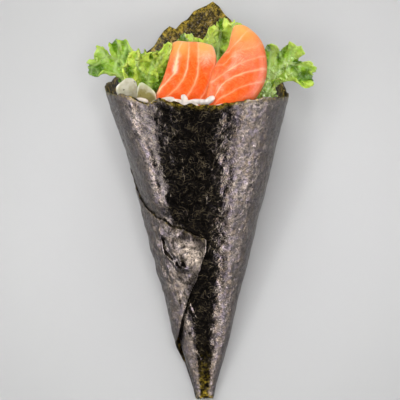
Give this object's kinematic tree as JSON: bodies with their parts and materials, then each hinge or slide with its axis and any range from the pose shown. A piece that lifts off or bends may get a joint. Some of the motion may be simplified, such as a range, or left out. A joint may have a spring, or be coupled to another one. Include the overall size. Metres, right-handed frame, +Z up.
{
  "type": "salmon temaki hand roll",
  "caption": "Cone of rolled nori filled with rice, slices of raw salmon and curly green lettuce, lying on its back.",
  "frame": {"origin": "on the supporting surface, in the middle of the flat strip along the cone's back line, 78 mm from the point where the cone's sides would meet", "axes": "+Z up; +Y from the rolled tip towards the open mouth; +X to the right of someone who sees the tip towards them and the mouth away from them"},
  "size_m": [0.0775, 0.1441, 0.0579],
  "materials": {
    "nori": "semi-gloss, crinkled",
    "rice": "moist, slightly translucent",
    "salmon": "moist, with pale fat lines",
    "lettuce": "satin, veined",
    "lettuce_rib": "satin, watery"
  },
  "bodies": {
    "root": {"nori": "nori", "rice": "rice", "salmon_left": "salmon", "salmon_right": "salmon", "lettuce_left": "lettuce", "lettuce_front": "lettuce", "lettuce_back": "lettuce", "lettuce_right": "lettuce", "lettuce_fold": "lettuce", "rib_side": "lettuce_rib", "rib_front": "lettuce_rib"}
  },
  "joints": []
}
